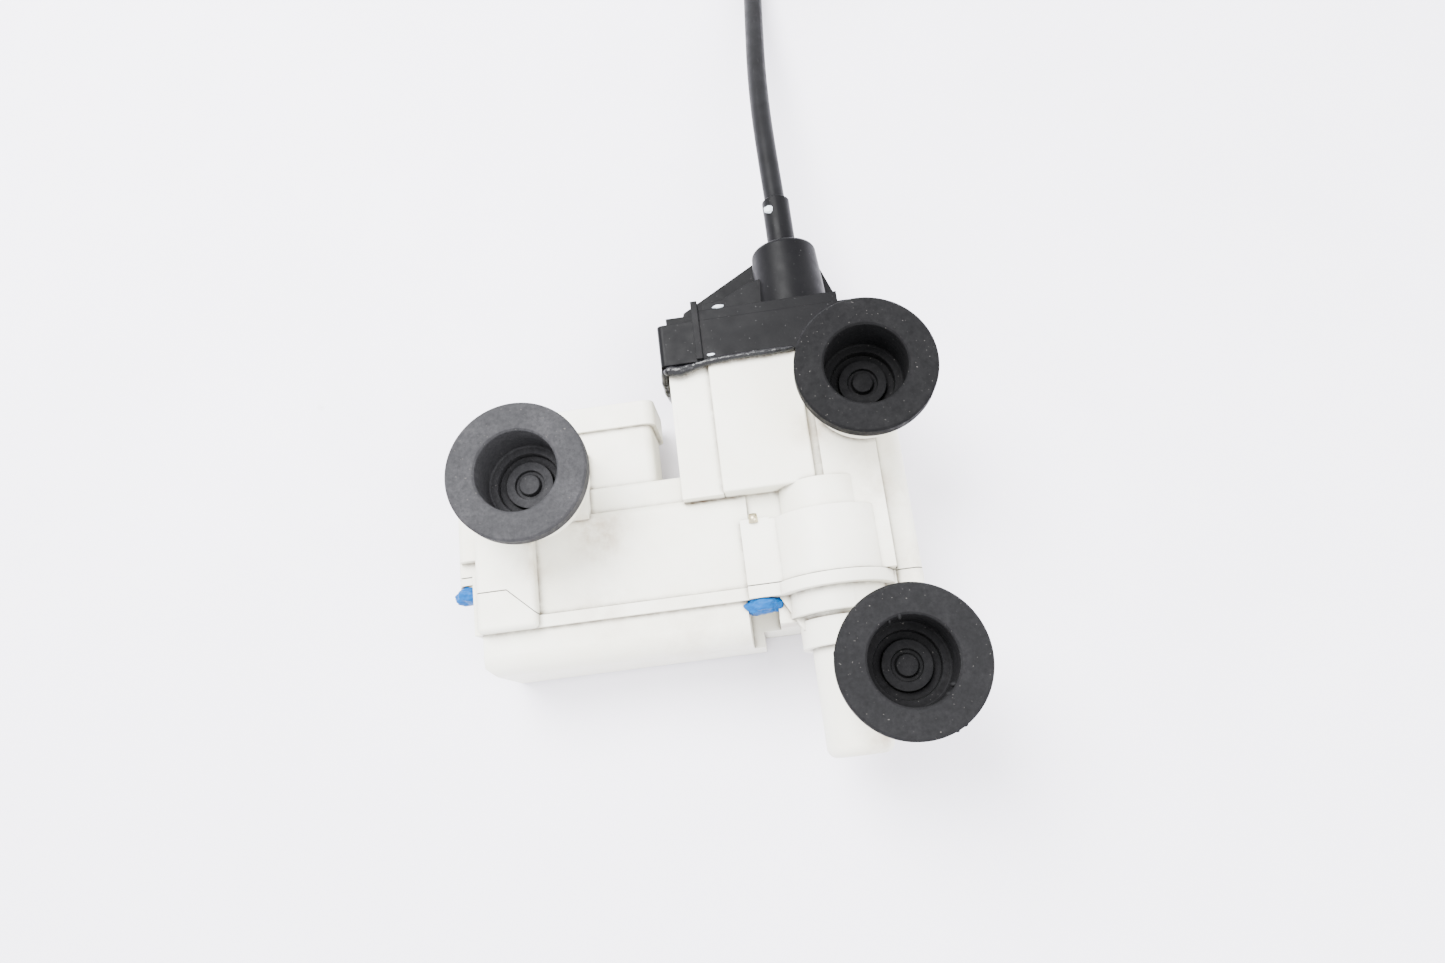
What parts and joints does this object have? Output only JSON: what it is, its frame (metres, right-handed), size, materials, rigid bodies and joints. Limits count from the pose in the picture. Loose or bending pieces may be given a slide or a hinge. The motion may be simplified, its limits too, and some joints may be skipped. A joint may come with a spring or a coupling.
{
  "type": "motorised cable actuator",
  "caption": "Motor-driven cable puller: white two-shell case on rubber bushes, worm drive, travelling spindle, plug socket and sheathed pull cable.",
  "frame": {"origin": "on the resting face, where the plane between the two shells crosses the spindle's axis", "axes": "+X along the motor towards the worm's tip, +Y along the spindle towards the cable, +Z from the resting face towards the rubber bushes' open faces"},
  "size_m": [0.2052, 0.3313, 0.052],
  "materials": {
    "ivory_plastic": "satin moulded",
    "black_plastic": "semi-gloss moulded",
    "bush_rubber": "matt dusty",
    "sealant": "glossy",
    "conduit_sheath": "smooth satin",
    "steel": "turned",
    "zinc": "yellow passivated zinc",
    "can_steel": "zinc plated",
    "brass": "machined",
    "magnet": "ferrite",
    "bronze": "sintered",
    "copper": "enamelled wire",
    "carbon": "graphite",
    "pom": "acetal",
    "board": "solder mask",
    "chip": "moulded"
  },
  "bodies": {
    "housing": {"upper_housing": "ivory_plastic", "lower_housing": "ivory_plastic", "cable_cap": "black_plastic", "cap_sealant": "sealant", "bush_left": "bush_rubber", "bush_upper": "bush_rubber", "bush_lower": "bush_rubber", "housing_screws": "zinc", "connector_carrier": "black_plastic", "connector_pins": "steel", "control_board": "board", "board_parts": "chip", "motor_leads": "brass", "motor_can": "can_steel", "motor_magnets": "magnet", "motor_end_bell": "black_plastic", "carbon_brushes": "carbon", "brush_springs": "steel", "rear_bearing": "bronze", "front_bearing": "bronze", "shaft_bearing": "bronze", "worm_tip_bearing": "bronze", "thrust_pad": "pom", "wheel_bearing_outer": "steel", "nut_bush": "bronze", "thrust_washer": "steel", "guide_track": "pom", "end_stop_buffer": "bush_rubber", "conduit_sleeve": "black_plastic", "conduit": "conduit_sheath", "conduit_coil": "conduit_sheath", "conduit_ferrule": "steel"},
    "rotor": {"motor_shaft": "steel", "armature_core": "steel", "armature_windings": "copper", "commutator": "copper", "worm": "steel"},
    "wheel": {"worm_wheel": "pom", "wheel_nut": "brass", "wheel_bearing_inner": "steel"},
    "ball_set": {"bearing_balls": "steel"},
    "spindle_set": {"spindle": "steel", "crosshead": "black_plastic", "crosshead_pin": "steel", "position_magnet": "magnet", "pull_wire": "steel", "wire_barrel": "zinc"},
    "wire_end": {"wire_tip": "steel", "end_nipple": "zinc"}
  },
  "joints": [
    {"name": "rotor_spin", "type": "hinge", "parent": "housing", "child": "rotor", "pos_m": [0, 0.006, 0.0135], "axis": [1, 0, 0], "range_deg": [0, 14400]},
    {"name": "wheel_spin", "type": "hinge", "parent": "housing", "child": "wheel", "pos_m": [0, 0.006, 0.0245], "axis": [0, 1, 0], "range_deg": [0, 720]},
    {"name": "ball_spin", "type": "hinge", "parent": "housing", "child": "ball_set", "pos_m": [0, 0.0135, 0.0245], "axis": [0, 1, 0], "range_deg": [0, 323.01]},
    {"name": "spindle_slide", "type": "slide", "parent": "housing", "child": "spindle_set", "axis": [0, -1, 0], "range_m": [0, 0.02]},
    {"name": "wire_end_slide", "type": "slide", "parent": "housing", "child": "wire_end", "axis": [-1, 0, 0], "range_m": [0, 0.02]}
  ],
  "couplings": [
    {"joint": "rotor_spin", "follows": "spindle_slide", "rad_per_m": 12566},
    {"joint": "wheel_spin", "follows": "spindle_slide", "rad_per_m": 628.32},
    {"joint": "ball_spin", "follows": "spindle_slide", "rad_per_m": 281.79},
    {"joint": "wire_end_slide", "follows": "spindle_slide", "ratio": 1}
  ]
}
